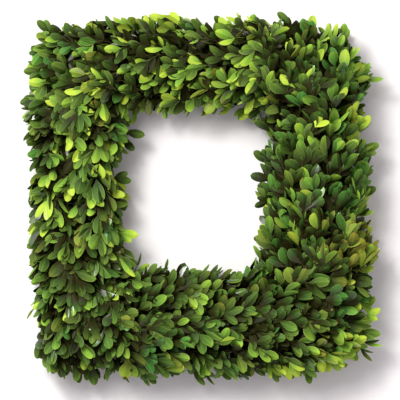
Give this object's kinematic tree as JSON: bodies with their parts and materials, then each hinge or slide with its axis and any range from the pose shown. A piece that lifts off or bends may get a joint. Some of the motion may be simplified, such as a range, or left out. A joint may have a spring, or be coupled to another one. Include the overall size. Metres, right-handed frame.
{
  "type": "boxwood wreath",
  "caption": "Square wreath of glossy boxwood shoots, wired in overlapping bunches round a flat wire frame, to lie flat or hang by its frame.",
  "frame": {"origin": "on the surface that the wreath lies on, under the middle of its outline", "axes": "+Z out of the wreath's face, +Y towards its top as hung, +X to the right as seen from the front"},
  "size_m": [0.4023, 0.4164, 0.0763],
  "materials": {
    "foliage_lime": "glossy preserved boxwood leaves, lime green where the light falls",
    "foliage_mid": "glossy preserved boxwood leaves, mid green",
    "foliage_shade": "glossy preserved boxwood leaves, deep olive green",
    "frame_wire": "dark green painted steel wire",
    "binding_wire": "thin green painted steel wire"
  },
  "bodies": {
    "root": {"bunch_bottom_inner_1": "foliage_shade", "bunch_bottom_inner_2": "foliage_shade", "bunch_bottom_inner_3": "foliage_shade", "bunch_bottom_crown_1": "foliage_lime", "bunch_bottom_crown_2": "foliage_lime", "bunch_bottom_crown_3": "foliage_lime", "bunch_bottom_crown_4": "foliage_lime", "bunch_bottom_outer_1": "foliage_mid", "bunch_bottom_outer_2": "foliage_mid", "bunch_bottom_outer_3": "foliage_mid", "bunch_bottom_outer_4": "foliage_mid", "bunch_bottom_outer_5": "foliage_mid", "bunch_right_inner_1": "foliage_shade", "bunch_right_inner_2": "foliage_shade", "bunch_right_inner_3": "foliage_shade", "bunch_right_crown_1": "foliage_lime", "bunch_right_crown_2": "foliage_lime", "bunch_right_crown_3": "foliage_lime", "bunch_right_crown_4": "foliage_lime", "bunch_right_outer_1": "foliage_mid", "bunch_right_outer_2": "foliage_mid", "bunch_right_outer_3": "foliage_mid", "bunch_right_outer_4": "foliage_mid", "bunch_right_outer_5": "foliage_mid", "bunch_top_inner_1": "foliage_shade", "bunch_top_inner_2": "foliage_shade", "bunch_top_inner_3": "foliage_shade", "bunch_top_crown_1": "foliage_lime", "bunch_top_crown_2": "foliage_lime", "bunch_top_crown_3": "foliage_lime", "bunch_top_crown_4": "foliage_lime", "bunch_top_outer_1": "foliage_mid", "bunch_top_outer_2": "foliage_mid", "bunch_top_outer_3": "foliage_mid", "bunch_top_outer_4": "foliage_mid", "bunch_top_outer_5": "foliage_mid", "bunch_left_inner_1": "foliage_shade", "bunch_left_inner_2": "foliage_shade", "bunch_left_inner_3": "foliage_shade", "bunch_left_crown_1": "foliage_lime", "bunch_left_crown_2": "foliage_lime", "bunch_left_crown_3": "foliage_lime", "bunch_left_crown_4": "foliage_lime", "bunch_left_outer_1": "foliage_mid", "bunch_left_outer_2": "foliage_mid", "bunch_left_outer_3": "foliage_mid", "bunch_left_outer_4": "foliage_mid", "bunch_left_outer_5": "foliage_mid", "binding_wire_bottom": "binding_wire", "binding_wire_right": "binding_wire", "binding_wire_top": "binding_wire", "binding_wire_left": "binding_wire", "wire_frame": "frame_wire"}
  },
  "joints": []
}
